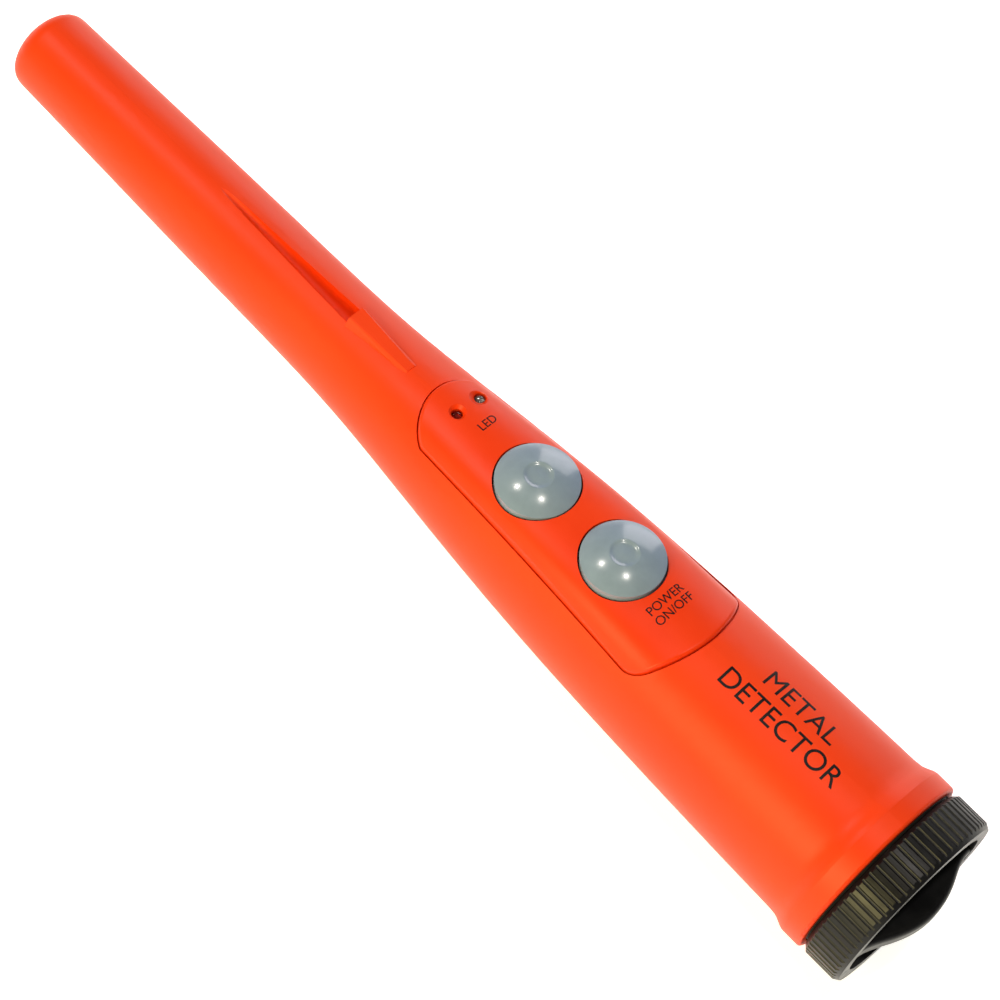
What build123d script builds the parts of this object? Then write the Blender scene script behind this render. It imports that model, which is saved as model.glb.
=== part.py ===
from build123d import *
from math import cos, radians, sin, sqrt, tan
import os

os.makedirs("parts", exist_ok=True)

# Handheld metal detector (pinpointer). Millimetres.
# A station is the distance ahead of the rear rim of the battery cap, along the long axis.
# +X runs to the probe tip, +Z is the side with the control panel.

# ---- body ----
collar_radius = 19.7
collar_start = 9.1
collar_land_end = 13.2
flare_end = 17.5
nose_station = 236.0
nose_start = 231.0
wall = 2.2
body_radii = (
    (17.5, 18.5), (50.0, 17.6), (90.0, 15.6), (120.0, 12.8),
    (140.0, 10.9), (170.0, 9.95), (231.0, 8.65),
)

# ---- battery cap and its thread ----
cap_radius = 19.5
cap_ring_length = 8.5
cap_face_width = 3.4
cap_bevel_length = 1.1
cap_bevel_depth = 0.65
cap_recess_depth = 5.5
cap_floor_end = 7.4
finger_bar_rise = 4.0
finger_bar_round = 1.1
finger_bar_thickness = 3.8
finger_bar_turn = 7.0
cap_rib_count = 72
cap_rib_groove = 0.42
plug_outer = 16.15
plug_inner = 15.05
plug_end = 16.5
thread_lead = 2.5
thread_depth = 0.6
thread_turns = 1.5
thread_start = 11.4
bore_radius = 17.0
bore_end = 17.6
seal_seat_radius = 18.0
seal_seat_end = 10.5
seal_ring_radius = 17.0
seal_section = 0.72

# ---- battery compartment ----
battery_start = 10.0
battery_length = 46.4
battery_width = 26.2
battery_height = 17.0
battery_corner = 2.0
battery_bore = 15.4
battery_rib_gap = 0.25
terminal_spacing = 12.7
terminal_height = 2.5
snap_length = 2.5

# ---- control panel and board ----
panel_rear = (56.8, -2.5)
panel_rear_corners = ((62.0, 12.9), (60.8, -14.2))
panel_rear_rounds = 4.8
panel_front = (126.3, -1.5)
panel_front_corners = ((120.2, 8.9), (120.2, -10.0))
panel_front_rounds = 2.2
panel_skin = 1.8
panel_gap = 0.3
panel_lap = 0.9
gasket_thickness = 0.4
ledge_width = 2.4
panel_sections = (
    # station, half width, rise at the middle, rise at the shoulder
    (54.0, 14.0, 0.95, 1.8),
    (75.0, 12.8, 0.8, 1.85),
    (90.0, 12.0, 0.75, 2.0),
    (106.0, 10.8, 0.75, 1.6),
    (119.0, 9.6, 0.6, 1.0),
    (132.0, 8.6, 0.3, 0.4),
)
board_tilt = 5.0
board_station = 89.15
rim_height = 16.6
board_depth = 9.3
board_thickness = 1.2
board_rear = -23.0
board_front = 34.0

# ---- buttons and switches ----
button_offset = 10.85
button_radius = 7.95
button_flange_radius = 8.55
button_edge_drop = 0.3
button_dome_radius = 14.6
flange_high = 3.4
flange_low = 3.9
button_hole_radius = 8.3
dimple_radius = 2.9
dimple_depth = 0.18
switch_side = 6.2
switch_height = 3.4
plunger_radius = 1.75

# ---- indicator lamps ----
lamp_station = 120.05
lamp_sides = (0.55, -5.45)
lamp_radius = 1.0
lamp_rim_radius = 1.35
lamp_length = 5.3
lamp_recess = 0.6

# ---- torch ----
torch_station = 147.5
torch_height = 8.3
hood_tail = 132.5
hood_root = 8.5
hood_base_widths = (1.7, 2.7)
hood_top_widths = (1.0, 1.7)
hood_rises = (0.05, 1.35)
hood_shoulder_drop = 0.45
hood_round = 0.7
scoop_half_widths = (1.9, 0.6)
scoop_runout = 184.0
torch_led_radius = 1.5

# ---- search coil ----
rod_radius = 3.5
rod_start = 176.0
rod_end = 230.0
bobbin_start = 180.0
bobbin_end = 227.0
bobbin_radius = 4.7
flange_radius = 6.0
winding_radius = 5.7
rear_support_start = 174.5
front_support_start = 228.2
support_length = 3.0
lead_drop = 5.0

lamp_block_rear = 131.0
lamp_block_length = 43.0
lamp_block_width = 8.6
torch_rim_radius = 1.75
torch_rim_front = 142.8

# ---- fixings ----
rib_start = 18.5
rib_length = 38.0
screw_places = ((-20.5, 7.2), (-20.5, -7.2), (23.3, 4.6), (23.3, -4.6))
screw_hole_radius = 1.0
screw_radius = 0.9
screw_head_radius = 1.9
wire_radius = 0.6
coil_wire_radius = 0.4
bulkhead_start = 63.2
bulkhead_notch = 9.8
motor_start = 84.0
motor_length = 14.0
motor_radius = 3.5
motor_drop = 8.0
shaft_radius = 0.5
weight_radius = 3.0
boss_radius = 2.0
panel_edge_round = 0.7

rear_overhang = 116.0
axis_height = collar_radius
lamp_places = tuple(
    (((lamp_station - board_station) / cos(radians(board_tilt)), y), depth)
    for y, depth in zip(lamp_sides, (0.55, 1.45))
)


def x_at(station):
    return station - rear_overhang


def radius_at(station):
    """Body radius, read between the driving stations."""
    for (near, near_radius), (far, far_radius) in zip(body_radii, body_radii[1:]):
        if near <= station <= far:
            share = (station - near) / (far - near)
            return near_radius + share * (far_radius - near_radius)
    return body_radii[0][1] if station < body_radii[0][0] else body_radii[-1][1]


# local x = station; local y = height above the long axis
side = Plane(origin=(x_at(0), 0, axis_height), x_dir=(1, 0, 0), z_dir=(0, -1, 0))
# local x = station; local y = +Y
plan = Plane(origin=(x_at(0), 0, axis_height), x_dir=(1, 0, 0), z_dir=(0, 0, 1))
long_axis = Axis((0, 0, axis_height), (1, 0, 0))


def cross(station):
    """Plane across the body: local x = +Y, local y = height above the long axis."""
    return Plane(origin=(x_at(station), 0, axis_height), x_dir=(0, 1, 0), z_dir=(1, 0, 0))


def board(depth=0.0):
    """Plane of the buttons' rims, sunk by depth: local x runs forward, local y = +Y."""
    tilt = radians(board_tilt)
    rims = Plane(
        origin=(x_at(board_station), 0, axis_height + rim_height),
        x_dir=(cos(tilt), 0, -sin(tilt)),
        z_dir=(sin(tilt), 0, cos(tilt)),
    )
    return rims.offset(-depth)


def body_line(inset, first=0):
    """The handle and probe line, from a driving station to the start of the nose."""
    points = [(station, radius - inset) for station, radius in body_radii[first:]]
    return Spline(*points, tangents=[(1, -0.02), (1, -0.02)])


def nose_line(inset):
    """The rounded end, from the nose's start to the long axis."""
    tip = nose_station - inset
    start = (nose_start, body_radii[-1][1] - inset)
    shoulder = (tip - 1.3, 6.1 - inset)
    return Spline(start, shoulder, (tip, 0), tangents=[(1, -0.02), (0, -1)])


def save(part, name):
    part.label = name
    export_step(part, "parts/" + name + ".step")


def tube(points, wire_radius, name):
    """A wire along straight runs joined by tangent arcs, with its arc radii printed."""
    route = [Vector(*point) for point in points]
    runs = [(after - before) for before, after in zip(route, route[1:])]
    radii = []
    for before, after in zip(runs, runs[1:]):
        half_turn = radians(before.get_angle(after)) / 2
        radii.append(0.45 * min(before.length, after.length) / tan(half_turn))
    print(name, "arc radii", [round(radius, 1) for radius in radii])
    with BuildPart() as wire:
        with BuildLine() as path:
            FilletPolyline(*points, radius=radii)
        with BuildSketch(Plane(origin=path.line @ 0, z_dir=path.line % 0)):
            Circle(wire_radius)
        sweep()
    return wire.part


def thread_ridge(root_radius, crest_radius, start):
    """One right-hand helical ridge on a cylinder, from its root to its crest."""
    centre = Vector(x_at(start), 0, axis_height)
    outward = 1 if crest_radius > root_radius else -1
    with BuildPart() as ridge:
        with BuildLine() as path:
            Helix(thread_lead, thread_turns * thread_lead, root_radius, center=centre, direction=(1, 0, 0))
        radial = (path.line @ 0) - centre
        with BuildSketch(Plane(origin=path.line @ 0, x_dir=radial, z_dir=path.line % 0)):
            with BuildLine():
                Polyline(
                    (-0.2 * outward, -0.7), (-0.2 * outward, 0.7), (thread_depth * outward, 0.35),
                    (thread_depth * outward, -0.35), close=True,
                )
            make_face()
        sweep(is_frenet=True)
    return ridge.part


def panel_outline(inset):
    """The control panel seen from above, drawn inset from its edge, with rounded corners."""
    with BuildSketch(plan) as outline:
        with BuildLine():
            rear = ThreePointArc(panel_rear_corners[0], panel_rear, panel_rear_corners[1])
            front = ThreePointArc(panel_front_corners[1], panel_front, panel_front_corners[0])
            Line(rear @ 1, front @ 0)
            Line(front @ 1, rear @ 0)
        make_face()
        fillet(outline.vertices().sort_by(Axis.X)[:2], radius=panel_rear_rounds)
        fillet(outline.vertices().sort_by(Axis.X)[-2:], radius=panel_front_rounds)
        if inset:
            offset(amount=-inset, mode=Mode.REPLACE)
    return outline.sketch


def panel_mass(drop):
    """A block whose top is the panel's domed surface, lowered by drop."""
    with BuildPart() as mass:
        for station, half_width, middle, shoulder in panel_sections:
            radius = radius_at(station)

            def over(y, rise):
                return (y, sqrt(radius ** 2 - y ** 2) + rise - drop)

            crest = over(0, middle)
            inner = over(0.45 * half_width, 0.5 * middle + 0.5 * shoulder)
            outer = over(0.8 * half_width, shoulder)
            edge = over(half_width, 0.35 * shoulder)
            foot = (half_width + 1.2, edge[1] - 2.0)
            right = [inner, outer, edge, foot]
            left = [(-y, z) for y, z in reversed(right)]
            with BuildSketch(cross(station)):
                with BuildLine():
                    Spline(*left, crest, *right)
                    Polyline(foot, (foot[0], -2.0), (-foot[0], -2.0), (-foot[0], foot[1]))
                make_face()
        loft()
    return mass.part


def solid_core(inset):
    """Everything within the body's surface lowered by inset, over the panel's length."""
    with BuildPart() as core:
        with BuildSketch(side):
            with BuildLine():
                surface = body_line(inset)
                Polyline(surface @ 1, (nose_start, 0), (flare_end, 0), surface @ 0)
            make_face()
        revolve(axis=long_axis)
    return core.part


# Outlines and tools shared by the housing, the gasket and the panel
seam_edge = panel_outline(-panel_gap)
panel_edge = panel_outline(0)
skirt_edge = panel_outline(panel_skin)
opening_edge = panel_outline(ledge_width)
above_axis = 24.0

# ======================= main housing =======================
# The hollow is drawn first: bore with its seal seat, battery bore, then a bore that follows
# the body. Two pairs of ribs hold the battery, and a block carries the torch lamp.

with BuildPart() as hollow:
    with BuildSketch(side):
        with BuildLine():
            inner = body_line(wall, first=1)
            nose = nose_line(wall + 0.2)
            Polyline(
                inner @ 0, (bore_end + 0.9, battery_bore), (bore_end, bore_radius),
                (seal_seat_end, bore_radius), (seal_seat_end, seal_seat_radius),
                (collar_start - 1, seal_seat_radius), (collar_start - 1, 0), nose @ 1,
            )
            Line(inner @ 1, nose @ 0)
        make_face()
    revolve(axis=long_axis)
    with BuildSketch(cross(rib_start)):
        for rib_side in (-1, 1):
            for rib_level in (-1, 1):
                with Locations((rib_side * 6.0, rib_level * (battery_height / 2 + battery_rib_gap + 5))):
                    Rectangle(1.6, 10)
    extrude(amount=rib_length, mode=Mode.SUBTRACT)
    with BuildSketch(cross(lamp_block_rear)):
        with Locations((0, 9.6)):
            Rectangle(lamp_block_width, 10)
    extrude(amount=lamp_block_length, mode=Mode.SUBTRACT)

# The ledge under the panel's edge: the wall lowered by the lap and the gasket
with BuildPart() as panel_ledge:
    add(solid_core(panel_lap + gasket_thickness))
    add(hollow.part, mode=Mode.SUBTRACT)
    extrude(panel_outline(-1.0), amount=above_axis, mode=Mode.INTERSECT)
    extrude(opening_edge, amount=above_axis, mode=Mode.SUBTRACT)

# Torch hood: a ridge with a rounded top that widens and rises forward to the lamp wall
with BuildPart() as torch_hood:
    for station, base, top, rise in zip(
        (hood_tail, torch_station), hood_base_widths, hood_top_widths, hood_rises
    ):
        crest_height = radius_at(station) + rise
        shoulder_height = radius_at(station) - hood_shoulder_drop
        with BuildSketch(cross(station)) as hood_section:
            with BuildLine():
                Polyline(
                    (-base, hood_root), (base, hood_root), (base, shoulder_height), (top, crest_height),
                    (-top, crest_height), (-base, shoulder_height), close=True,
                )
            make_face()
            fillet(hood_section.vertices().sort_by(Axis.Z)[-2:], radius=hood_round)
    loft()

# Torch scoop: a round-bottomed groove that narrows and climbs from the lamp wall to the surface
with BuildPart() as torch_scoop:
    for station, half_width, bottom in (
        (torch_station, scoop_half_widths[0], torch_height - scoop_half_widths[0]),
        (scoop_runout, scoop_half_widths[1], radius_at(scoop_runout)),
    ):
        centre_height = bottom + half_width
        with BuildSketch(cross(station)):
            with BuildLine():
                floor_arc = ThreePointArc((-half_width, centre_height), (0, bottom), (half_width, centre_height))
                Polyline(
                    floor_arc @ 1, (half_width, centre_height + 5), (-half_width, centre_height + 5),
                    floor_arc @ 0,
                )
            make_face()
    loft()

neck_thread = thread_ridge(bore_radius, bore_radius - thread_depth, thread_start + thread_lead / 2)

with BuildPart() as main_housing:
    with BuildSketch(side):
        with BuildLine():
            outer = body_line(0)
            nose = nose_line(0)
            Spline((collar_land_end, collar_radius), (15.3, 18.95), outer @ 0, tangents=[(1, -0.1), (1, -0.02)])
            Polyline(
                (collar_land_end, collar_radius), (collar_start, collar_radius), (collar_start, 0),
                nose @ 1,
            )
        make_face()
    revolve(axis=long_axis)
    rims = main_housing.edges().filter_by(GeomType.CIRCLE).group_by(SortBy.RADIUS)[-1]
    fillet(rims.sort_by(Axis.X)[0], radius=0.7)
    add(torch_hood.part)
    add(hollow.part, mode=Mode.SUBTRACT)
    add(torch_scoop.part, mode=Mode.SUBTRACT)
    # lamp hole, with a wider bore behind it for the lamp's rim
    with BuildSketch(cross(lamp_block_rear)):
        with Locations((0, torch_height)):
            Circle(torch_led_radius + 0.1)
    extrude(amount=torch_station - lamp_block_rear, mode=Mode.SUBTRACT)
    with BuildSketch(cross(lamp_block_rear)):
        with Locations((0, torch_height)):
            Circle(torch_rim_radius + 0.1)
    extrude(amount=torch_rim_front - lamp_block_rear, mode=Mode.SUBTRACT)
    extrude(seam_edge, amount=above_axis, mode=Mode.SUBTRACT)
    add(panel_ledge.part)
    add(neck_thread)
save(main_housing.part, "main_housing")

# ======================= control panel and gasket =======================

panel_block = panel_mass(0)
panel_inside = panel_mass(panel_skin)

with BuildPart() as gasket:
    extrude(panel_outline(0.2), amount=above_axis)
    extrude(panel_outline(panel_skin), amount=above_axis, mode=Mode.SUBTRACT)
    add(solid_core(panel_lap), mode=Mode.INTERSECT)
    add(solid_core(panel_lap + gasket_thickness), mode=Mode.SUBTRACT)
save(gasket.part, "panel_gasket")

with BuildPart() as panel_cavity:
    add(panel_inside)
    extrude(skirt_edge, amount=above_axis, mode=Mode.INTERSECT)

with BuildPart() as bosses:
    with BuildSketch(board(board_depth)):
        with Locations(*screw_places):
            Circle(boss_radius)
    extrude(amount=board_depth)
    add(panel_inside, mode=Mode.INTERSECT)

with BuildPart() as control_panel:
    add(panel_block)
    extrude(panel_edge, amount=above_axis, mode=Mode.INTERSECT)
    top = control_panel.faces().sort_by(SortBy.AREA)[-1]
    fillet(top.outer_wire().edges(), radius=panel_edge_round)
    add(solid_core(panel_lap), mode=Mode.SUBTRACT)
    add(panel_cavity.part, mode=Mode.SUBTRACT)
    add(bosses.part)
    with BuildSketch(board(-6)):
        with Locations((-button_offset, 0), (button_offset, 0)):
            Circle(button_hole_radius)
    extrude(amount=-12, mode=Mode.SUBTRACT)
    with BuildSketch(board(flange_high - 0.3)):
        with Locations((-button_offset, 0), (button_offset, 0)):
            Circle(button_flange_radius + 0.3)
    extrude(amount=-5, mode=Mode.SUBTRACT)
    for place, depth in lamp_places:
        with BuildSketch(board(-3)):
            with Locations(place):
                Circle(lamp_radius + 0.1)
        extrude(amount=-11, mode=Mode.SUBTRACT)
        with BuildSketch(board(depth + lamp_recess)):
            with Locations(place):
                Circle(lamp_radius + 0.1)
        extrude(amount=2, taper=-45, mode=Mode.SUBTRACT)
    with BuildSketch(board(board_depth)):
        with Locations(*screw_places):
            Circle(screw_hole_radius)
    extrude(amount=4.5, mode=Mode.SUBTRACT)
save(control_panel.part, "control_panel")

# ======================= battery cap =======================
cap_thread = thread_ridge(plug_outer, plug_outer + thread_depth, thread_start)

# Finger bar across the recess: bell-shaped along its length, with a rounded crest.
# Its plane has local x along the bar and local y to the rear.
bar_half = cap_radius - cap_face_width + 0.3
bar_turn = radians(finger_bar_turn)
bar_across = Vector(0, -sin(bar_turn), cos(bar_turn))
bar_plane = Plane(
    origin=Vector(x_at(0), 0, axis_height) - bar_across * (finger_bar_thickness / 2),
    x_dir=(0, cos(bar_turn), sin(bar_turn)),
    z_dir=bar_across,
)

with BuildPart() as finger_bar:
    with BuildSketch(bar_plane):
        with BuildLine():
            crest = Spline(
                (-bar_half, -0.1), (-0.52 * bar_half, 0.55 * finger_bar_rise), (0, finger_bar_rise),
                (0.52 * bar_half, 0.55 * finger_bar_rise), (bar_half, -0.1), tangents=[(1, 0), (1, 0)],
            )
            Polyline(
                crest @ 1, (bar_half, -cap_recess_depth), (-bar_half, -cap_recess_depth), crest @ 0,
            )
        make_face()
    extrude(amount=finger_bar_thickness)
    fillet(finger_bar.edges().filter_by(GeomType.BSPLINE), radius=finger_bar_round)

with BuildPart() as battery_cap:
    with BuildSketch(side):
        with BuildLine():
            Polyline(
                (0, cap_radius - cap_face_width), (0, cap_radius - cap_bevel_depth),
                (cap_bevel_length, cap_radius),
                (cap_ring_length - 0.9, cap_radius), (cap_ring_length, cap_radius - 0.9),
                (cap_ring_length, plug_outer), (plug_end - 0.5, plug_outer), (plug_end, plug_outer - 0.5),
                (plug_end, plug_inner), (cap_floor_end, plug_inner), (cap_floor_end, 0),
                (cap_recess_depth, 0), (cap_recess_depth, cap_radius - cap_face_width), close=True,
            )
        make_face()
    revolve(axis=long_axis)
    add(finger_bar.part)
    # fine grip ribs, left between round grooves that run out on the rear bevel
    with BuildSketch(cross(0.5 * cap_bevel_length)):
        with PolarLocations(cap_radius + 0.08, cap_rib_count):
            Circle(cap_rib_groove)
    extrude(amount=cap_ring_length, mode=Mode.SUBTRACT)
    add(cap_thread)
save(battery_cap.part, "battery_cap")

with BuildPart() as cap_o_ring:
    with BuildSketch(side):
        with Locations((cap_ring_length + 0.2 + seal_section, seal_ring_radius)):
            Circle(seal_section)
    revolve(axis=long_axis)
save(cap_o_ring.part, "cap_o_ring")

with BuildPart() as cap_foam_pad:
    with BuildSketch(cross(cap_floor_end)):
        Circle(12.0)
    extrude(amount=battery_start - 0.4 - cap_floor_end)
save(cap_foam_pad.part, "cap_foam_pad")

# ======================= buttons and their switches =======================


def dome_height(radius):
    """Height of the button's spherical dome above its rim plane."""
    sphere_drop = sqrt(button_dome_radius ** 2 - button_radius ** 2) + button_edge_drop
    return sqrt(button_dome_radius ** 2 - radius ** 2) - sphere_drop


dish_height = dome_height(dimple_radius) - dimple_depth

for name, side_sign in (("power", -1), ("torch", 1)):
    place = side_sign * button_offset

    button_section = Plane(
        origin=board().from_local_coords(Vector(place, 0, 0)),
        x_dir=board().x_dir,
        z_dir=(0, -1, 0),
    )
    with BuildPart() as button:
        with BuildSketch(button_section):
            with BuildLine():
                dome = RadiusArc(
                    (button_radius, -button_edge_drop), (dimple_radius, dome_height(dimple_radius)),
                    -button_dome_radius,
                )
                dish = Spline(
                    dome @ 1, (0.84 * dimple_radius, dish_height + 0.03), (0, dish_height),
                    tangents=[(-1, 0), (-1, 0)],
                )
                Polyline(
                    dish @ 1, (0, -flange_low), (button_flange_radius, -flange_low),
                    (button_flange_radius, -flange_high), (button_radius, -flange_high), dome @ 0,
                )
            make_face()
        revolve(axis=Axis(button_section.origin, board().z_dir))
    save(button.part, name + "_button")

    with BuildPart() as plunger:
        with BuildSketch(board(6.9)):
            with Locations((place, 0)):
                Circle(plunger_radius)
        extrude(amount=6.9 - flange_low)
    save(plunger.part, name + "_switch_plunger")

    with BuildPart() as switch:
        with BuildSketch(board(board_depth)):
            with Locations((place, 0)):
                RectangleRounded(switch_side, switch_side, 0.5)
        extrude(amount=switch_height)
        with BuildSketch(board(8.1)):
            with Locations((place, 0)):
                Circle(plunger_radius + 0.1)
        extrude(amount=3, mode=Mode.SUBTRACT)
        # four metal posts folded over the corners
        with BuildSketch(board(board_depth - switch_height)):
            with Locations((place, 0)):
                with GridLocations(4.5, 4.5, 2, 2):
                    Circle(0.45)
        extrude(amount=0.25)
    save(switch.part, name + "_switch_body")

# ======================= indicator lamps =======================
for name, (place, depth) in zip(("red_indicator_led", "clear_indicator_led"), lamp_places):
    base_depth = depth + lamp_recess + lamp_length
    with BuildPart() as lamp:
        with BuildSketch(board(base_depth)):
            with Locations(place):
                Circle(lamp_radius)
        extrude(amount=lamp_length)
        fillet(lamp.faces().sort_by(Axis.Z)[-1].edges(), radius=0.85 * lamp_radius)
        with BuildSketch(board(base_depth)):
            with Locations(place):
                Circle(lamp_rim_radius)
        extrude(amount=1.0)
    save(lamp.part, name)

with BuildPart() as indicator_led_pins:
    for place, depth in lamp_places:
        with BuildSketch(board(board_depth)):
            with Locations(place):
                with Locations((0, 0.64), (0, -0.64)):
                    Rectangle(0.5, 0.5)
        extrude(amount=board_depth - depth - lamp_recess - lamp_length)
save(indicator_led_pins.part, "indicator_led_pins")

# ======================= torch lamp =======================
torch_led_rear = torch_rim_front - 1.0

with BuildPart() as torch_led:
    with BuildSketch(side):
        with BuildLine():
            lens = Spline(
                (torch_station - 1.4, torch_height + torch_led_radius), (torch_station - 0.1, torch_height),
                tangents=[(1, 0), (0, -1)],
            )
            Polyline(
                lens @ 1, (torch_led_rear, torch_height), (torch_led_rear, torch_height + torch_rim_radius),
                (torch_rim_front, torch_height + torch_rim_radius),
                (torch_rim_front, torch_height + torch_led_radius), lens @ 0,
            )
        make_face()
    revolve(axis=Axis((0, 0, axis_height + torch_height), (1, 0, 0)))
save(torch_led.part, "torch_led")


def place_on(station, y, height):
    """A point given by station, distance to +Y and height above the long axis."""
    return (x_at(station), y, axis_height + height)


torch_lead_parts = [
    tube(
        [
            place_on(torch_led_rear, sign * 0.65, torch_height),
            place_on(135.0, sign * 0.8, torch_height - 0.1),
            place_on(128.0, sign * 1.2, 7.3),
            place_on(123.6, sign * 1.9, 6.0),
            place_on(120.5, sign * 2.2, 5.0),
        ],
        coil_wire_radius,
        "torch lead",
    )
    for sign in (-1, 1)
]
with BuildPart() as torch_led_leads:
    for lead in torch_lead_parts:
        add(lead)
save(torch_led_leads.part, "torch_led_leads")

# ======================= circuit board =======================
with BuildPart() as circuit_board:
    with BuildSketch(board(board_depth)):
        with BuildLine():
            Polyline(
                (board_rear, -9.5), (board_rear, 9.5), (14, 8.4), (board_front, 5.8),
                (board_front, -5.8), (14, -8.4), close=True,
            )
        make_face()
        with Locations(*screw_places):
            Circle(screw_hole_radius + 0.1, mode=Mode.SUBTRACT)
    extrude(amount=-board_thickness)
save(circuit_board.part, "circuit_board")

under_board = board_depth + board_thickness

with BuildPart() as board_screws:
    with BuildSketch(board(under_board)):
        with Locations(*screw_places):
            Circle(screw_head_radius)
    extrude(amount=-1.3)
    with BuildSketch(board(under_board)):
        with Locations(*screw_places):
            Circle(screw_radius)
    extrude(amount=board_thickness + 4.2)
    with BuildSketch(board(under_board + 1.3)):
        with Locations(*screw_places):
            Rectangle(2.2, 0.5)
            Rectangle(0.5, 2.2)
    extrude(amount=0.7, mode=Mode.SUBTRACT)
save(board_screws.part, "board_screws")

chips = {
    # name: local x, y, length, width, height, hanging under the board
    "microcontroller": (1.0, 0.0, 7.0, 7.0, 1.2),
    "amplifier_chip": (23.3, 0.0, 5.0, 3.9, 1.5),
    "voltage_regulator": (-19.0, 2.0, 2.5, 4.5, 1.5),
    "crystal": (-14.3, 0.0, 4.5, 10.4, 3.5),
    "coil_socket": (29.5, 0.0, 5.0, 6.0, 3.6),
}
for name, (x, y, length, width, height) in chips.items():
    with BuildPart() as chip:
        with BuildSketch(board(under_board)):
            with Locations((x, y)):
                RectangleRounded(length, width, 2.0 if name == "crystal" else 0.3)
        extrude(amount=-height)
    save(chip.part, name)

with BuildPart() as electrolytic_capacitors:
    with BuildSketch(board(under_board)):
        with Locations((-7.8, 3.6), (-7.8, -3.6)):
            Circle(2.5)
    extrude(amount=-6.5)
save(electrolytic_capacitors.part, "electrolytic_capacitors")

with BuildPart() as chip_components:
    with BuildSketch(board(under_board)):
        with Locations((1.0, 6.6), (1.0, -6.6)):
            with GridLocations(3.0, 0, 4, 1):
                Rectangle(1.25, 2.0)
        with Locations((18.9, 6.2), (18.9, -6.2)):
            Rectangle(1.25, 1.0)
    extrude(amount=-0.6)
save(chip_components.part, "chip_components")

with BuildPart() as sensitivity_trimmer:
    with BuildSketch(board(board_depth)):
        with Locations((0, 5.2)):
            RectangleRounded(4.5, 4.5, 0.4)
    extrude(amount=2.4)
    with BuildSketch(board(board_depth - 2.4)):
        with Locations((0, 5.2)):
            Circle(1.5)
    extrude(amount=0.4)
    with BuildSketch(board(board_depth - 2.8)):
        with Locations((0, 5.2)):
            Rectangle(2.2, 0.5)
    extrude(amount=-0.5, mode=Mode.SUBTRACT)
save(sensitivity_trimmer.part, "sensitivity_trimmer")

with BuildPart() as piezo_buzzer:
    with BuildSketch(board(under_board)):
        with Locations((11.8, 0)):
            Circle(5.6)
    extrude(amount=-5.0)
    with BuildSketch(board(under_board + 5.0)):
        with Locations((11.8, 0)):
            Circle(1.0)
    extrude(amount=1.5, mode=Mode.SUBTRACT)
save(piezo_buzzer.part, "piezo_buzzer")

# ======================= vibration motor =======================
motor_end = motor_start + motor_length
motor_line = (0, -motor_drop)

with BuildPart() as vibration_motor:
    with BuildSketch(cross(motor_start)):
        with Locations(motor_line):
            Circle(motor_radius)
    extrude(amount=motor_length)
    with BuildSketch(cross(motor_end - 2.5)):
        with Locations(motor_line):
            Circle(shaft_radius + 0.06)
    extrude(amount=3, mode=Mode.SUBTRACT)
save(vibration_motor.part, "vibration_motor")

with BuildPart() as motor_shaft:
    with BuildSketch(cross(motor_end - 2.2)):
        with Locations(motor_line):
            Circle(shaft_radius)
    extrude(amount=7.7)
save(motor_shaft.part, "motor_shaft")

with BuildPart() as eccentric_weight:
    with BuildSketch(cross(motor_end + 1.2)):
        with Locations(motor_line):
            Circle(weight_radius)
        with Locations((0, -motor_drop + 1.0 + weight_radius / 2)):
            Rectangle(2 * weight_radius, weight_radius, mode=Mode.SUBTRACT)
        with Locations(motor_line):
            Circle(shaft_radius, mode=Mode.SUBTRACT)
    extrude(amount=4.0)
save(eccentric_weight.part, "eccentric_weight")

with BuildPart() as motor_holder:
    with BuildSketch(cross(motor_start + 3.0)):
        with Locations((0, -motor_drop - 2.5)):
            Rectangle(11.0, 7.0)
        with Locations(motor_line):
            Circle(motor_radius + 0.04, mode=Mode.SUBTRACT)
    extrude(amount=8.0)
    add(solid_core(wall + 0.05), mode=Mode.INTERSECT)
save(motor_holder.part, "motor_holder")

motor_lead_parts = [
    tube(
        [
            place_on(motor_start, sign * 1.2, -motor_drop),
            place_on(78.5, sign * 1.4, -motor_drop + 0.6),
            place_on(74.0, sign * 1.9, -4.0),
            place_on(70.0, sign * 3.6, 1.5),
            place_on(68.2, sign * 5.0, 7.4),
        ],
        coil_wire_radius,
        "motor lead",
    )
    for sign in (-1, 1)
]
with BuildPart() as motor_leads:
    for lead in motor_lead_parts:
        add(lead)
save(motor_leads.part, "motor_leads")

# ======================= search coil =======================
with BuildPart() as ferrite_rod:
    with BuildSketch(cross(rod_start)):
        Circle(rod_radius)
    extrude(amount=rod_end - rod_start)
save(ferrite_rod.part, "ferrite_rod")

with BuildPart() as coil_bobbin:
    with BuildSketch(side):
        with BuildLine():
            Polyline(
                (bobbin_start, rod_radius + 0.05), (bobbin_start, flange_radius),
                (bobbin_start + 1.2, flange_radius), (bobbin_start + 1.2, bobbin_radius),
                (bobbin_end - 1.2, bobbin_radius), (bobbin_end - 1.2, flange_radius),
                (bobbin_end, flange_radius), (bobbin_end, rod_radius + 0.05), close=True,
            )
        make_face()
    revolve(axis=long_axis)
save(coil_bobbin.part, "coil_bobbin")

with BuildPart() as coil_winding:
    with BuildSketch(cross(bobbin_start + 1.2)):
        Circle(winding_radius)
        Circle(bobbin_radius, mode=Mode.SUBTRACT)
    extrude(amount=bobbin_end - bobbin_start - 2.4)
save(coil_winding.part, "coil_winding")

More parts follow.
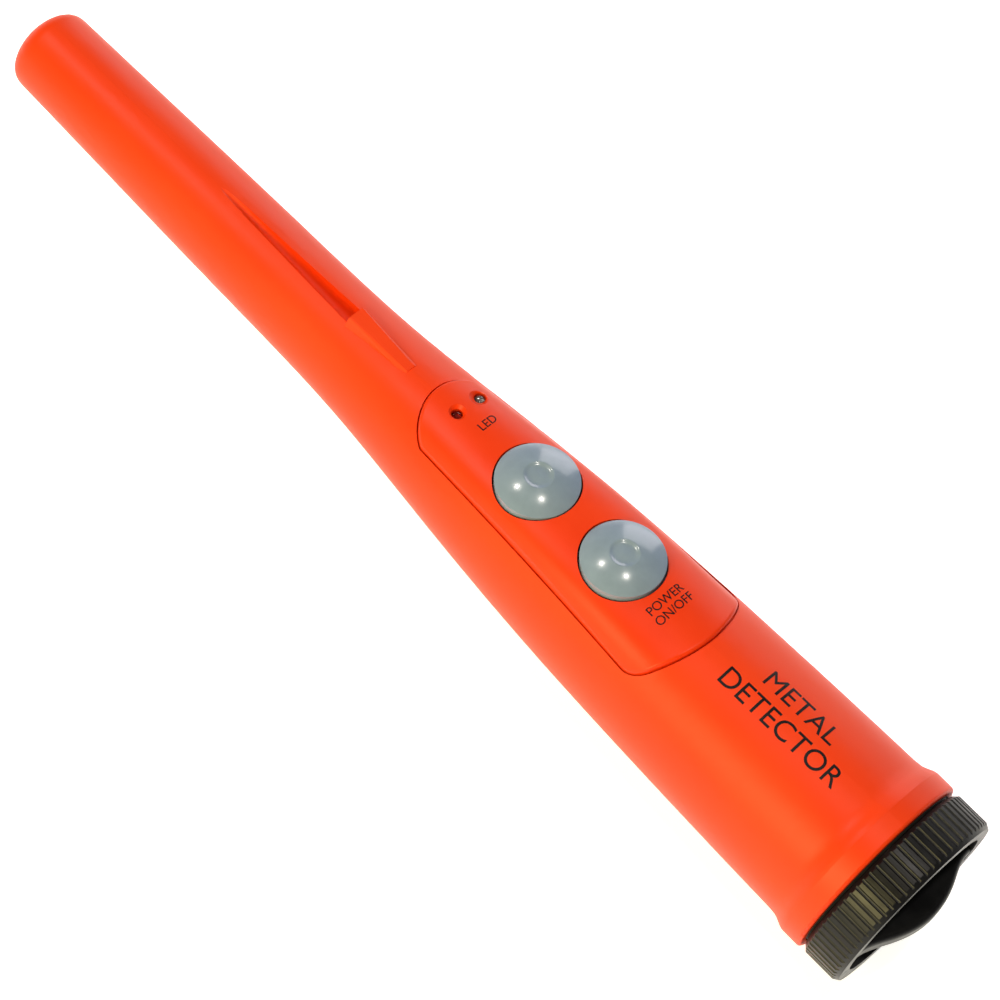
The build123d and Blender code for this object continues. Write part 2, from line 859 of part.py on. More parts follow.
for name, start, inset in (
    ("rear_coil_support", rear_support_start, wall + 0.2),
    ("front_coil_support", front_support_start, wall + 0.3),
):
    with BuildPart() as support:
        with BuildSketch(cross(start)):
            Circle(collar_radius)
            Circle(rod_radius + 0.05, mode=Mode.SUBTRACT)
            with Locations((0, -lead_drop - 2)):
                Rectangle(4.4, 6.0, mode=Mode.SUBTRACT)
        extrude(amount=support_length)
        add(solid_core(inset), mode=Mode.INTERSECT)
    save(support.part, name)

coil_lead_parts = [
    tube(
        [
            place_on(bobbin_start, sign * 0.9, -lead_drop),
            place_on(168.0, sign * 1.0, -lead_drop),
            place_on(156.0, sign * 1.2, -3.6),
            place_on(144.0, sign * 1.1, -2.0),
            place_on(133.0, sign * 1.2, -0.2),
            place_on(124.6, sign * 1.1, 1.0),
        ],
        coil_wire_radius,
        "coil lead",
    )
    for sign in (-1, 1)
]
with BuildPart() as coil_leads:
    for lead in coil_lead_parts:
        add(lead)
save(coil_leads.part, "coil_leads")

with BuildPart() as coil_plug:
    with BuildSketch(board(under_board + 0.4)):
        with Locations((33.8, 0)):
            RectangleRounded(3.6, 5.4, 0.3)
    extrude(amount=-3.0)
save(coil_plug.part, "coil_plug")

# ======================= battery and its connector =======================
battery_end = battery_start + battery_length

with BuildPart() as battery_9v:
    with BuildSketch(cross(battery_start)):
        RectangleRounded(battery_width, battery_height, battery_corner)
    extrude(amount=battery_length)
save(battery_9v.part, "battery_9v")

with BuildPart() as battery_terminals:
    with BuildSketch(cross(battery_end)):
        with Locations((terminal_spacing / 2, 0)):
            Circle(2.85)
        with Locations((-terminal_spacing / 2, 0)):
            Circle(4.2)
            Circle(3.2, mode=Mode.SUBTRACT)
    extrude(amount=terminal_height - 0.1)
save(battery_terminals.part, "battery_terminals")

with BuildPart() as snap_contacts:
    with BuildSketch(cross(battery_end + 0.6)):
        with Locations((terminal_spacing / 2, 0)):
            Circle(3.7)
            Circle(2.95, mode=Mode.SUBTRACT)
        with Locations((-terminal_spacing / 2, 0)):
            Circle(3.1)
    extrude(amount=terminal_height - 0.6)
save(snap_contacts.part, "snap_contacts")

snap_start = battery_end + terminal_height
with BuildPart() as battery_snap:
    with BuildSketch(cross(snap_start)):
        RectangleRounded(25.0, 14.5, 3.0)
    extrude(amount=snap_length)
save(battery_snap.part, "battery_snap")

with BuildPart() as bulkhead_foam_pad:
    with BuildSketch(cross(snap_start + snap_length)):
        RectangleRounded(22.0, 12.0, 2.0)
    extrude(amount=bulkhead_start - snap_start - snap_length)
save(bulkhead_foam_pad.part, "bulkhead_foam_pad")

with BuildPart() as battery_bulkhead:
    with BuildSketch(cross(bulkhead_start)):
        Circle(collar_radius)
        with Locations((0, bulkhead_notch + 5)):
            Rectangle(13.0, 10.0, mode=Mode.SUBTRACT)
    extrude(amount=1.5)
    add(solid_core(wall + 0.15), mode=Mode.INTERSECT)
save(battery_bulkhead.part, "battery_bulkhead")

for name, sign in (("battery_lead_red", 1), ("battery_lead_black", -1)):
    lead = tube(
        [
            place_on(60.2, sign * 3.6, 7.3),
            place_on(60.25, sign * 3.65, 9.6),
            place_on(63.6, sign * 3.8, 11.3),
            place_on(68.0, sign * 4.0, 11.2),
            place_on(71.6, sign * 4.2, 9.45),
        ],
        wire_radius,
        name,
    )
    with BuildPart() as battery_lead:
        add(lead)
    save(battery_lead.part, name)
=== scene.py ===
from math import cos, pi, radians, sin

import bpy
from mathutils import Matrix, Vector


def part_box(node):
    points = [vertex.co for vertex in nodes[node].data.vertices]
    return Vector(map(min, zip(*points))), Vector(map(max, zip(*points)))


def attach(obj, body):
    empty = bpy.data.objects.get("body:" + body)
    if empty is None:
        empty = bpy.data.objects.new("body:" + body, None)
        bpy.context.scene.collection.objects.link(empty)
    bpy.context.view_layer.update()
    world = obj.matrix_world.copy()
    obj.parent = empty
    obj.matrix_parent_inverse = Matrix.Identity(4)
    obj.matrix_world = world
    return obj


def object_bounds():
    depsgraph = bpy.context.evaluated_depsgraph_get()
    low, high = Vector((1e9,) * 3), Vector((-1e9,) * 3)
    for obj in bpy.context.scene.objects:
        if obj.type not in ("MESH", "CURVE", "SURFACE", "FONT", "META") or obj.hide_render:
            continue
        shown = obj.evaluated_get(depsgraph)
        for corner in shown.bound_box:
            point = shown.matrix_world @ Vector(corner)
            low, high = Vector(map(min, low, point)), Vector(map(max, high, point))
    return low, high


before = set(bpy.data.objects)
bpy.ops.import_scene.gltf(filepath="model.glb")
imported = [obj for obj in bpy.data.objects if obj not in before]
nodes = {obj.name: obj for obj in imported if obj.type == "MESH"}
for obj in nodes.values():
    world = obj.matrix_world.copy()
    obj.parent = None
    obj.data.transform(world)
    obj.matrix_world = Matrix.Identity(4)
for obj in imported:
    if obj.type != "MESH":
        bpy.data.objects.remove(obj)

cad_low, cad_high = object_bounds()

# ======================= camera, lamps and floor =======================
# The detector lies on a pale light table under two soft lamps and two small overhead spots.
# Stations are counted forward from the rear rim of the cap, which the finger bar overtops
# by its own rise.
mm = 0.001
finger_bar_rise = 4 * mm
rear_rim = cad_low.x + finger_bar_rise
axis_height = (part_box("battery_cap")[0].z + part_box("battery_cap")[1].z) / 2
middle = Vector((0, 0, axis_height))


def at_station(station):
    """X of a station given in millimetres ahead of the cap's rear rim."""
    return rear_rim + station * mm


camera_distance = 0.6304
camera_lean = radians(25.8)
camera_turn = radians(44.72)
camera_behind_rim = 0.0443
aim_ahead_of_rim = 0.1103
eye = Vector((
    rear_rim - camera_behind_rim,
    camera_distance * sin(camera_lean),
    axis_height + camera_distance * cos(camera_lean),
))
sight = (Vector((rear_rim + aim_ahead_of_rim, 0, axis_height)) - eye).normalized()
along_body = (Vector((1, 0, 0)) - sight.x * sight).normalized()
across_body = sight.cross(along_body)
frame_right = sin(camera_turn) * across_body - cos(camera_turn) * along_body
frame_up = cos(camera_turn) * across_body + sin(camera_turn) * along_body
camera_facing = Matrix((frame_right, frame_up, -sight)).transposed()
bpy.ops.object.camera_add(location=eye, rotation=camera_facing.to_euler())
camera = bpy.context.object
camera.name = "camera"
camera.data.sensor_width = 36
camera.data.lens = 126.3
camera.data.shift_x = 0.0150
camera.data.shift_y = -0.0196
bpy.context.scene.camera = camera
bpy.context.scene.view_settings.view_transform = "Standard"


def softbox(name, direction, distance, size, power, tint):
    """A square soft lamp that faces the middle of the detector."""
    place = middle + Vector(direction).normalized() * distance
    facing = (middle - place).to_track_quat("-Z", "Y").to_euler()
    bpy.ops.object.light_add(type="AREA", location=place, rotation=facing)
    lamp = bpy.context.object
    lamp.name = name
    lamp.data.size = size
    lamp.data.energy = power
    lamp.data.color = tint


softbox("left_key", (-0.05, 0.86, 0.5), 0.95, 0.42, 7.2, (1.0, 0.86, 0.38))
softbox("right_sheen", (0.3, -0.84, 0.30), 0.95, 0.6, 3.4, (1.0, 0.95, 0.94))
softbox("front_spot", (0.495, 0.136, 0.86), 1.1, 0.07, 2.7, (1.0, 0.93, 0.85))
softbox("top_spot", (-0.128, -0.024, 0.985), 1.1, 0.07, 2.7, (1.0, 0.93, 0.85))

# Surroundings: bright along the horizon and below it, darker overhead
horizon_level = 0.35
zenith_level = 0.05
surround = bpy.data.worlds.new("studio_surround")
bpy.context.scene.world = surround
surround.use_nodes = True
tree = surround.node_tree
direction = tree.nodes.new("ShaderNodeTexCoord")
split = tree.nodes.new("ShaderNodeSeparateXYZ")
fade = tree.nodes.new("ShaderNodeMapRange")
fade.inputs["From Min"].default_value = 0.15
fade.inputs["From Max"].default_value = 0.6
fade.inputs["To Min"].default_value = horizon_level
fade.inputs["To Max"].default_value = zenith_level
tree.links.new(direction.outputs["Generated"], split.inputs["Vector"])
tree.links.new(split.outputs["Z"], fade.inputs["Value"])
tree.links.new(fade.outputs["Result"], tree.nodes["Background"].inputs["Strength"])
tree.nodes["Background"].inputs["Color"].default_value = (1.0, 1.0, 1.0, 1.0)

# Light table: a pale sheet, evenly lit from inside, with an almost invisible mottle
floor_width = 6.0
bpy.ops.object.select_all(action="DESELECT")
bpy.ops.mesh.primitive_plane_add(size=floor_width, location=(0, 0, cad_low.z))
floor = bpy.context.object
floor.name = "light_table"
bpy.ops.object.transform_apply(location=True, rotation=True, scale=True)
table_finish = bpy.data.materials.new("light_table")
table_finish.use_nodes = True
tree = table_finish.node_tree
shader = tree.nodes["Principled BSDF"]
place = tree.nodes.new("ShaderNodeTexCoord")
mottle = tree.nodes.new("ShaderNodeTexNoise")
mottle.inputs["Scale"].default_value = 9.0
tones = tree.nodes.new("ShaderNodeValToRGB")
tones.color_ramp.elements[0].color = (0.84, 0.84, 0.84, 1)
tones.color_ramp.elements[1].color = (0.88, 0.88, 0.88, 1)
tree.links.new(place.outputs["Object"], mottle.inputs["Vector"])
tree.links.new(mottle.outputs["Fac"], tones.inputs["Fac"])
tree.links.new(tones.outputs["Color"], shader.inputs["Base Color"])
shader.inputs["Roughness"].default_value = 0.9
shader.inputs["Specular IOR Level"].default_value = 0.1
shader.inputs["Emission Color"].default_value = (1.0, 1.0, 1.0, 1.0)
shader.inputs["Emission Strength"].default_value = 0.8
floor.data.materials.append(table_finish)

# ======================= main housing =======================
# One orange ABS moulding from the flared collar to the closed nose. Its tool was
# spark-finished, so the skin has a fine even grain and faint flow marks along the body.


def moulded_finish(
    name, light, dark, gloss, grain, relief, patch, stretch=(1, 1, 1), shine=0.5,
):
    """Finish of a piece out of a mould: two close tones, wandering gloss and a fine grain.

    gloss is the lowest and highest roughness; grain, relief and patch are sizes in metres;
    stretch scales the patches along each axis, and shine is how much the skin reflects.
    """
    finish = bpy.data.materials.new(name)
    finish.use_nodes = True
    tree = finish.node_tree
    shader = tree.nodes["Principled BSDF"]
    place = tree.nodes.new("ShaderNodeTexCoord")
    pull = tree.nodes.new("ShaderNodeMapping")
    pull.inputs["Scale"].default_value = stretch
    flow = tree.nodes.new("ShaderNodeTexNoise")
    flow.inputs["Scale"].default_value = 1 / patch
    flow.inputs["Detail"].default_value = 4.0
    tones = tree.nodes.new("ShaderNodeValToRGB")
    tones.color_ramp.elements[0].position = 0.3
    tones.color_ramp.elements[0].color = (*dark, 1)
    tones.color_ramp.elements[1].position = 0.7
    tones.color_ramp.elements[1].color = (*light, 1)
    wander = tree.nodes.new("ShaderNodeMapRange")
    wander.inputs["From Min"].default_value = 0.3
    wander.inputs["From Max"].default_value = 0.7
    wander.inputs["To Min"].default_value = gloss[0]
    wander.inputs["To Max"].default_value = gloss[1]
    spark = tree.nodes.new("ShaderNodeTexNoise")
    spark.inputs["Scale"].default_value = 1 / grain
    spark.inputs["Detail"].default_value = 2.0
    bump = tree.nodes.new("ShaderNodeBump")
    bump.inputs["Distance"].default_value = relief
    shader.inputs["Specular IOR Level"].default_value = shine
    tree.links.new(place.outputs["Object"], pull.inputs["Vector"])
    tree.links.new(pull.outputs["Vector"], flow.inputs["Vector"])
    tree.links.new(place.outputs["Object"], spark.inputs["Vector"])
    tree.links.new(flow.outputs["Fac"], tones.inputs["Fac"])
    tree.links.new(tones.outputs["Color"], shader.inputs["Base Color"])
    tree.links.new(flow.outputs["Fac"], wander.inputs["Value"])
    tree.links.new(wander.outputs["Result"], shader.inputs["Roughness"])
    tree.links.new(spark.outputs["Fac"], bump.inputs["Height"])
    tree.links.new(bump.outputs["Normal"], shader.inputs["Normal"])
    return finish


def dress(finish, *names):
    """Gives the finish to CAD nodes, in place of the plain one they came with."""
    for name in names:
        nodes[name].data.materials.clear()
        nodes[name].data.materials.append(finish)


shell_orange = moulded_finish(
    "shell_orange", (0.95, 0.058, 0.002), (0.88, 0.047, 0.002), (0.40, 0.50),
    grain=0.3 * mm, relief=0.012 * mm, patch=14 * mm, stretch=(0.35, 1, 1), shine=0.22,
)
dress(shell_orange, "main_housing")

# ======================= control panel =======================
# A separate orange moulding let into the top of the handle. It comes from a smaller tool,
# so its grain is a little finer; its tone is a little darker than the housing's as painted shade.
panel_orange_painted_shade = moulded_finish(
    "panel_orange_painted_shade", (0.93, 0.052, 0.002), (0.86, 0.043, 0.002), (0.36, 0.45),
    grain=0.25 * mm, relief=0.010 * mm, patch=11 * mm, stretch=(0.5, 1, 1), shine=0.22,
)
dress(panel_orange_painted_shade, "control_panel")

# ======================= printed words =======================
# Pad-printed black ink. Each word is a thin film that is draped on the surface it is
# printed on: cut into narrow strips across the body, pressed down and given its thickness.
ink_black = moulded_finish(
    "ink_black", (0.012, 0.012, 0.014), (0.007, 0.007, 0.008), (0.38, 0.5),
    grain=0.08 * mm, relief=0.003 * mm, patch=1.2 * mm, shine=0.15,
)
ink_thickness = 0.03 * mm
ink_lift = 0.004 * mm
strip_width = 0.35 * mm
capital_share = 0.7


def print_words(name, words, capitals, fattening, place, turn, onto):
    """Prints words on a CAD node.

    capitals is their height, fattening how far each stroke is widened, place the middle of
    the words above the surface, and turn their heading.
    """
    bpy.ops.object.select_all(action="DESELECT")
    bpy.ops.object.text_add(location=(0, 0, 0))
    film = bpy.context.object
    film.name = name
    film.data.body = words
    film.data.align_x = "CENTER"
    film.data.align_y = "CENTER"
    film.data.size = capitals / capital_share
    film.data.resolution_u = 6
    bpy.ops.object.convert(target="MESH")
    film.rotation_euler = (0, 0, turn)
    film.location = place
    bpy.ops.object.transform_apply(location=True, rotation=True, scale=True)
    half_width = max(abs(corner[1] - place[1]) for corner in film.bound_box)
    strips = int(half_width / strip_width)
    bpy.ops.object.mode_set(mode="EDIT")
    bpy.ops.mesh.select_all(action="SELECT")
    bpy.ops.mesh.remove_doubles(threshold=0.001 * mm)
    bpy.ops.mesh.inset(thickness=fattening, use_outset=True, use_boundary=True)
    for strip in range(-strips, strips + 1):
        cut = place[1] + strip * strip_width
        bpy.ops.mesh.select_all(action="SELECT")
        bpy.ops.mesh.bisect(plane_co=(0, cut, 0), plane_no=(0, 1, 0))
    bpy.ops.object.mode_set(mode="OBJECT")
    press = film.modifiers.new("press", "SHRINKWRAP")
    press.target = nodes[onto]
    press.wrap_method = "PROJECT"
    press.use_project_z = True
    press.use_negative_direction = True
    press.use_positive_direction = False
    press.offset = ink_lift
    bpy.ops.object.modifier_apply(modifier=press.name)
    build_up = film.modifiers.new("build_up", "SOLIDIFY")
    build_up.thickness = ink_thickness
    build_up.offset = 1.0
    bpy.ops.object.modifier_apply(modifier=build_up.name)
    film.data.materials.append(ink_black)
    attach(film, "housing")


across_panel = -pi / 2
along_handle = pi
above_all = cad_high.z + 2 * mm
label_fattening = 0.13 * mm
for name, words, capitals, station, off_middle in (
    ("word_led", "LED", 1.7 * mm, 114.7, -2.0 * mm),
    ("word_power", "POWER", 1.75 * mm, 67.7, 0),
    ("word_on_off", "ON/OFF", 1.75 * mm, 65.3, 0),
):
    print_words(
        name, words, capitals, label_fattening,
        (at_station(station), off_middle, above_all), across_panel, "control_panel",
    )
title_capitals = 3.9 * mm
title_fattening = 0.26 * mm
title_station = 37.0
for name, words, off_middle in (
    ("word_metal", "METAL", -3.3 * mm),
    ("word_detector", "DETECTOR", 2.4 * mm),
):
    print_words(
        name, words, title_capitals, title_fattening,
        (at_station(title_station), off_middle, above_all), along_handle, "main_housing",
    )

# ======================= panel gasket and cap O-ring =======================
# The gasket is die-cut from silicone sheet and lies under the panel's edge, where it shows in
# the seam; its dark brick-red is painted shade for the seam groove. The cap's O-ring is moulded
# in black nitrile.
gasket_painted_seam_shade = moulded_finish(
    "gasket_painted_seam_shade", (0.28, 0.018, 0.006), (0.20, 0.012, 0.005), (0.62, 0.78),
    grain=0.2 * mm, relief=0.01 * mm, patch=3 * mm,
)
dress(gasket_painted_seam_shade, "panel_gasket")
nitrile_black = moulded_finish(
    "nitrile_black", (0.022, 0.021, 0.020), (0.012, 0.012, 0.012), (0.6, 0.75),
    grain=0.2 * mm, relief=0.008 * mm, patch=3 * mm,
)
dress(nitrile_black, "cap_o_ring")

# ======================= buttons =======================
# Two glossy grey domes cast in polyurethane, each with a shallow dish for the fingertip.
# A thin flange under the panel keeps each one in its hole.
button_grey = moulded_finish(
    "button_grey", (0.262, 0.350, 0.475), (0.238, 0.318, 0.432), (0.19, 0.25),
    grain=0.16 * mm, relief=0.0012 * mm, patch=2.5 * mm,
)
shader = button_grey.node_tree.nodes["Principled BSDF"]
shader.inputs["Coat Weight"].default_value = 0.3
shader.inputs["Coat Roughness"].default_value = 0.12
dress(button_grey, "torch_button", "power_button")

# ======================= lamps =======================
# Two small indicators in the panel and the torch lamp ahead of it, cast in epoxy round
# their tinned pins. A silvered cup inside each one holds its chip, seen through the lens.


def cast_resin(name, light, dark):
    """Finish of a cast lamp: clear resin with faint swirls and a slightly wavy skin."""
    finish = moulded_finish(
        name, light, dark, (0.04, 0.1), grain=0.5 * mm, relief=0.002 * mm, patch=0.6 * mm,
    )
    shader = finish.node_tree.nodes["Principled BSDF"]
    shader.inputs["Transmission Weight"].default_value = 0.9
    shader.inputs["IOR"].default_value = 1.54
    return finish


red_resin = cast_resin("red_lens", (0.95, 0.05, 0.03), (0.85, 0.03, 0.02))
dress(red_resin, "red_indicator_led")
clear_resin = cast_resin("clear_lens", (0.93, 0.94, 0.95), (0.86, 0.88, 0.90))
dress(clear_resin, "clear_indicator_led", "torch_led")


def plated_finish(name, light, dark, gloss, grain, relief, stretch=(1, 1, 1)):
    """Finish of a metal piece: bright metal with duller patches and a fine grain."""
    finish = moulded_finish(
        name, light, dark, gloss, grain, relief, patch=1.5 * mm, stretch=stretch,
    )
    finish.node_tree.nodes["Principled BSDF"].inputs["Metallic"].default_value = 1.0
    return finish


tinned_metal = plated_finish(
    "tinned_metal", (0.72, 0.71, 0.68), (0.58, 0.57, 0.54), (0.2, 0.34), 0.1 * mm, 0.002 * mm,
)
dress(tinned_metal, "indicator_led_pins", "battery_terminals", "snap_contacts")


def lamp_cup(name, middle_of_cup, facing, radius):
    """The silvered cup in a lamp: a round post whose face is sunk to a cone round the chip."""
    bpy.ops.object.select_all(action="DESELECT")
    bpy.ops.mesh.primitive_cylinder_add(
        vertices=28, radius=radius, depth=2.4 * radius, location=(0, 0, 0),
    )
    cup = bpy.context.object
    cup.name = name
    bpy.ops.object.mode_set(mode="EDIT")
    bpy.ops.mesh.select_all(action="DESELECT")
    bpy.ops.object.mode_set(mode="OBJECT")
    for face in cup.data.polygons:
        face.select = face.normal.z > 0.9
    bpy.ops.object.mode_set(mode="EDIT")
    bpy.ops.mesh.inset(thickness=0.14 * radius)
    bpy.ops.mesh.extrude_region_move(TRANSFORM_OT_translate={"value": (0, 0, -0.6 * radius)})
    bpy.ops.transform.resize(value=(0.55, 0.55, 1))
    bpy.ops.mesh.inset(thickness=0.1 * radius)
    bpy.ops.mesh.extrude_region_move(TRANSFORM_OT_translate={"value": (0, 0, 0.18 * radius)})
    bpy.ops.object.mode_set(mode="OBJECT")
    cup.rotation_euler = Vector(facing).to_track_quat("Z", "Y").to_euler()
    cup.location = middle_of_cup
    bpy.ops.object.transform_apply(location=True, rotation=True, scale=True)
    bpy.ops.object.shade_smooth_by_angle(angle=radians(35))
    cup.data.materials.append(tinned_metal)
    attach(cup, "housing")


panel_tilt = radians(5)
panel_up = (sin(panel_tilt), 0, cos(panel_tilt))
indicator_cup_rise = 0.9 * mm
for name in ("red_indicator_led", "clear_indicator_led"):
    low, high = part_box(name)
    lens_middle = (low + high) / 2
    cup_middle = lens_middle + indicator_cup_rise * Vector(panel_up)
    lamp_cup(name + "_cup", cup_middle, panel_up, 0.5 * mm)
low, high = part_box("torch_led")
torch_cup_advance = Vector((0.2 * mm, 0, 0))
torch_middle = (low + high) / 2 + torch_cup_advance
lamp_cup("torch_led_cup", torch_middle, (1, 0, 0), 0.8 * mm)

# ======================= battery cap =======================
# Black glass-filled nylon, screwed into the collar. Its ribs and finger bar are moulded
# with it, and the skin wanders a little between dull and shiny.
cap_black = moulded_finish(
    "cap_black", (0.008, 0.008, 0.0095), (0.004, 0.004, 0.005), (0.30, 0.44),
    grain=0.28 * mm, relief=0.012 * mm, patch=4 * mm, shine=0.3,
)
dress(cap_black, "battery_cap")

# ======================= foam pads =======================
# Grey closed-cell foam, cut from sheet and stuck inside the cap and on the bulkhead. It
# keeps the battery from rattling at both ends.
pad_foam = moulded_finish(
    "pad_foam", (0.11, 0.11, 0.115), (0.05, 0.05, 0.055), (0.85, 0.97),
    grain=0.5 * mm, relief=0.12 * mm, patch=1.5 * mm,
)
dress(pad_foam, "cap_foam_pad", "bulkhead_foam_pad")

# ======================= switches =======================
# A tact switch stands on the board under each button: a black glass-filled body that is
# soldered down, and a brown plunger that travels with the button.
switch_black = moulded_finish(
    "switch_black", (0.03, 0.03, 0.032), (0.015, 0.015, 0.016), (0.42, 0.55),
    grain=0.2 * mm, relief=0.008 * mm, patch=1.5 * mm,
)
dress(switch_black, "torch_switch_body", "power_switch_body")
plunger_brown = moulded_finish(
    "plunger_brown", (0.16, 0.07, 0.035), (0.11, 0.045, 0.022), (0.35, 0.48),
    grain=0.15 * mm, relief=0.004 * mm, patch=1.0 * mm,
)
dress(plunger_brown, "torch_switch_plunger", "power_switch_plunger")

# ======================= circuit board =======================
# Glass fibre under green lacquer, held by four screws to bosses under the panel. The copper
# tracks show through the lacquer as paler bands.
board_green = moulded_finish(
    "board_green", (0.012, 0.13, 0.035), (0.006, 0.075, 0.02), (0.22, 0.34),
    grain=0.2 * mm, relief=0.004 * mm, patch=2 * mm, stretch=(0.4, 1, 1),
)
tree = board_green.node_tree
shader = tree.nodes["Principled BSDF"]
lacquer_tones = shader.inputs["Base Color"].links[0].from_socket
place = tree.nodes.new("ShaderNodeTexCoord")
tracks = tree.nodes.new("ShaderNodeTexBrick")
tracks.inputs["Scale"].default_value = 160.0
tracks.inputs["Mortar Size"].default_value = 0.06
tracks.inputs["Color2"].default_value = (0.01, 0.1, 0.03, 1)
tracks.inputs["Mortar"].default_value = (0.03, 0.26, 0.07, 1)
tree.links.new(place.outputs["Object"], tracks.inputs["Vector"])
tree.links.new(lacquer_tones, tracks.inputs["Color1"])
tree.links.new(tracks.outputs["Color"], shader.inputs["Base Color"])
dress(board_green, "circuit_board")

# ======================= parts on the board =======================
# Chips in black resin, ceramic blocks, a steel crystal can, sleeved capacitors, a blue
# trimmer and white nylon plugs, each in the finish that it leaves its own factory with.
for name, finish_name, light, dark, gloss in (
    ("microcontroller", "resin_micro", (0.025, 0.025, 0.027), (0.014, 0.014, 0.015), (0.45, 0.6)),
    (
        "amplifier_chip", "resin_amplifier", (0.028, 0.027, 0.027), (0.016, 0.015, 0.015),
        (0.42, 0.58),
    ),
    (
        "voltage_regulator", "resin_regulator", (0.03, 0.03, 0.03), (0.018, 0.018, 0.018),
        (0.4, 0.55),
    ),
    ("chip_components", "ceramic_tan", (0.42, 0.30, 0.18), (0.30, 0.21, 0.12), (0.35, 0.5)),
    (
        "electrolytic_capacitors", "sleeve_blue", (0.02, 0.035, 0.11), (0.012, 0.02, 0.07),
        (0.28, 0.38),
    ),
    ("sensitivity_trimmer", "trimmer_blue", (0.03, 0.16, 0.5), (0.02, 0.11, 0.38), (0.3, 0.42)),
    ("piezo_buzzer", "buzzer_black", (0.022, 0.022, 0.022), (0.012, 0.012, 0.012), (0.4, 0.52)),
    ("coil_socket", "socket_white", (0.75, 0.74, 0.70), (0.66, 0.65, 0.60), (0.38, 0.5)),
    ("coil_plug", "plug_white", (0.78, 0.77, 0.73), (0.69, 0.68, 0.63), (0.36, 0.48)),
):
    part_finish = moulded_finish(
        finish_name, light, dark, gloss, grain=0.18 * mm, relief=0.006 * mm, patch=1.2 * mm,
    )
    dress(part_finish, name)
crystal_can = plated_finish(
    "crystal_can", (0.66, 0.65, 0.62), (0.52, 0.51, 0.48), (0.22, 0.36), 0.12 * mm, 0.002 * mm,
)
dress(crystal_can, "crystal")
screw_steel = plated_finish(
    "screw_steel", (0.62, 0.62, 0.63), (0.42, 0.42, 0.43), (0.25, 0.4), 0.15 * mm, 0.003 * mm,
)
dress(screw_steel, "board_screws")

# ======================= vibration motor =======================
# A drawn steel can in a natural nylon holder. Its shaft swings a sintered tungsten
# half-weight. The same nylon makes the bobbin and the two supports of the coil ahead of it.
motor_can = plated_finish(
    "motor_can", (0.60, 0.59, 0.57), (0.45, 0.44, 0.42), (0.24, 0.38), 0.12 * mm, 0.003 * mm,
    stretch=(0.2, 1, 1),
)
dress(motor_can, "vibration_motor", "motor_shaft")
tungsten = plated_finish(
    "tungsten", (0.36, 0.35, 0.34), (0.22, 0.21, 0.20), (0.45, 0.6), 0.2 * mm, 0.02 * mm,
)
dress(tungsten, "eccentric_weight")
nylon_natural = moulded_finish(
    "nylon_natural", (0.70, 0.68, 0.60), (0.60, 0.58, 0.50), (0.42, 0.55),
    grain=0.3 * mm, relief=0.008 * mm, patch=3 * mm,
)
dress(nylon_natural, "motor_holder", "rear_coil_support", "front_coil_support", "coil_bobbin")

# ======================= search coil =======================
# A ferrite rod in a bobbin wound with enamelled copper wire. The turns lie side by side,
# drawn as fine ridges round the winding.
ferrite = moulded_finish(
    "ferrite", (0.05, 0.05, 0.055), (0.025, 0.025, 0.028), (0.5, 0.68),
    grain=0.35 * mm, relief=0.02 * mm, patch=2 * mm,
)
dress(ferrite, "ferrite_rod")
enamel_copper = plated_finish(
    "enamel_copper", (0.72, 0.26, 0.10), (0.52, 0.15, 0.05), (0.25, 0.38), 0.1 * mm, 0.002 * mm,
)
wire_pitch = 0.5 * mm
wave_node_rate = 20
tree = enamel_copper.node_tree
turns = tree.nodes.new("ShaderNodeTexWave")
turns.bands_direction = "X"
turns.inputs["Scale"].default_value = 2 * pi / (wave_node_rate * wire_pitch)
turns.inputs["Distortion"].default_value = 0.0
lay = tree.nodes.new("ShaderNodeBump")
lay.inputs["Distance"].default_value = 0.06 * mm
place = tree.nodes.new("ShaderNodeTexCoord")
tree.links.new(place.outputs["Object"], turns.inputs["Vector"])
tree.links.new(turns.outputs["Fac"], lay.inputs["Height"])
tree.links.new(lay.outputs["Normal"], tree.nodes["Bump"].inputs["Normal"])
dress(enamel_copper, "coil_winding")

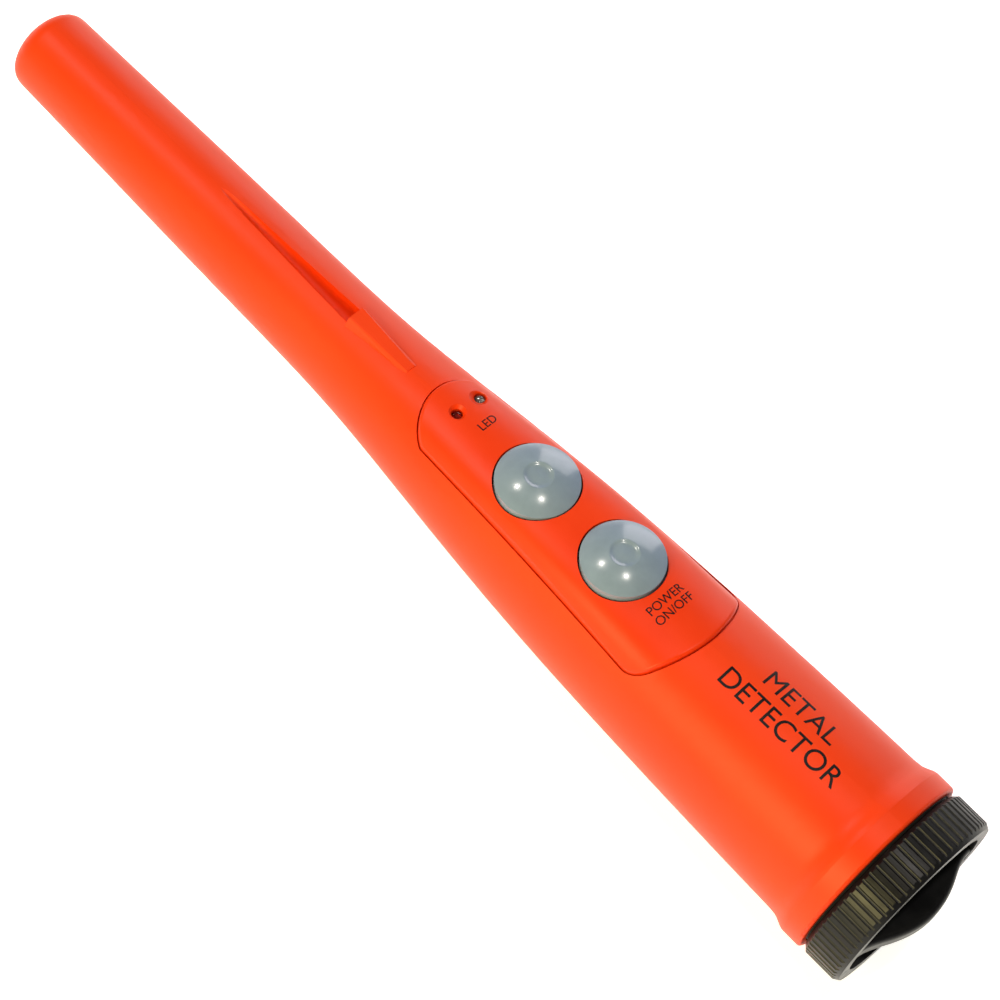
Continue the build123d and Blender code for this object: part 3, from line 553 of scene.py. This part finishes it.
# ======================= wires =======================
# Stranded wire in extruded PVC sleeves, cut to short leads with one colour for each run:
# torch lamp, motor, search coil and the two battery leads.
for finish_name, light, dark, name in (
    ("sleeve_white", (0.74, 0.73, 0.70), (0.64, 0.63, 0.60), "torch_led_leads"),
    ("sleeve_sky", (0.04, 0.14, 0.45), (0.025, 0.10, 0.34), "motor_leads"),
    ("sleeve_cream", (0.70, 0.66, 0.52), (0.60, 0.56, 0.43), "coil_leads"),
    ("sleeve_red", (0.55, 0.015, 0.012), (0.42, 0.01, 0.008), "battery_lead_red"),
    ("sleeve_black", (0.02, 0.02, 0.02), (0.011, 0.011, 0.011), "battery_lead_black"),
):
    sleeve = moulded_finish(
        finish_name, light, dark, (0.3, 0.42), grain=0.2 * mm, relief=0.004 * mm, patch=1.5 * mm,
    )
    dress(sleeve, name)

# ======================= battery and its snap =======================
# A 9 V block in a printed steel jacket with a copper-toned band at its terminal end,
# the moulded vinyl snap over its terminals, and the nylon bulkhead ahead of them.
jacket = moulded_finish(
    "battery_jacket", (0.04, 0.04, 0.042), (0.02, 0.02, 0.021), (0.24, 0.36),
    grain=0.2 * mm, relief=0.002 * mm, patch=4 * mm,
)
tree = jacket.node_tree
shader = tree.nodes["Principled BSDF"]
body_tones = shader.inputs["Base Color"].links[0].from_socket
place = tree.nodes.new("ShaderNodeTexCoord")
split = tree.nodes.new("ShaderNodeSeparateXYZ")
band = tree.nodes.new("ShaderNodeMath")
band.operation = "GREATER_THAN"
band_length = 13 * mm
band.inputs[1].default_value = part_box("battery_9v")[1].x - band_length
paint = tree.nodes.new("ShaderNodeMix")
paint.data_type = "RGBA"
paint.inputs[7].default_value = (0.52, 0.22, 0.08, 1)
tree.links.new(place.outputs["Object"], split.inputs["Vector"])
tree.links.new(split.outputs["X"], band.inputs[0])
tree.links.new(band.outputs["Value"], paint.inputs[0])
tree.links.new(body_tones, paint.inputs[6])
tree.links.new(paint.outputs[2], shader.inputs["Base Color"])
dress(jacket, "battery_9v")
snap_vinyl = moulded_finish(
    "snap_vinyl", (0.025, 0.025, 0.026), (0.014, 0.014, 0.015), (0.48, 0.62),
    grain=0.3 * mm, relief=0.015 * mm, patch=2 * mm,
)
dress(snap_vinyl, "battery_snap")
bulkhead_black = moulded_finish(
    "bulkhead_black", (0.035, 0.035, 0.036), (0.02, 0.02, 0.021), (0.45, 0.6),
    grain=0.3 * mm, relief=0.01 * mm, patch=3 * mm,
)
dress(bulkhead_black, "battery_bulkhead")
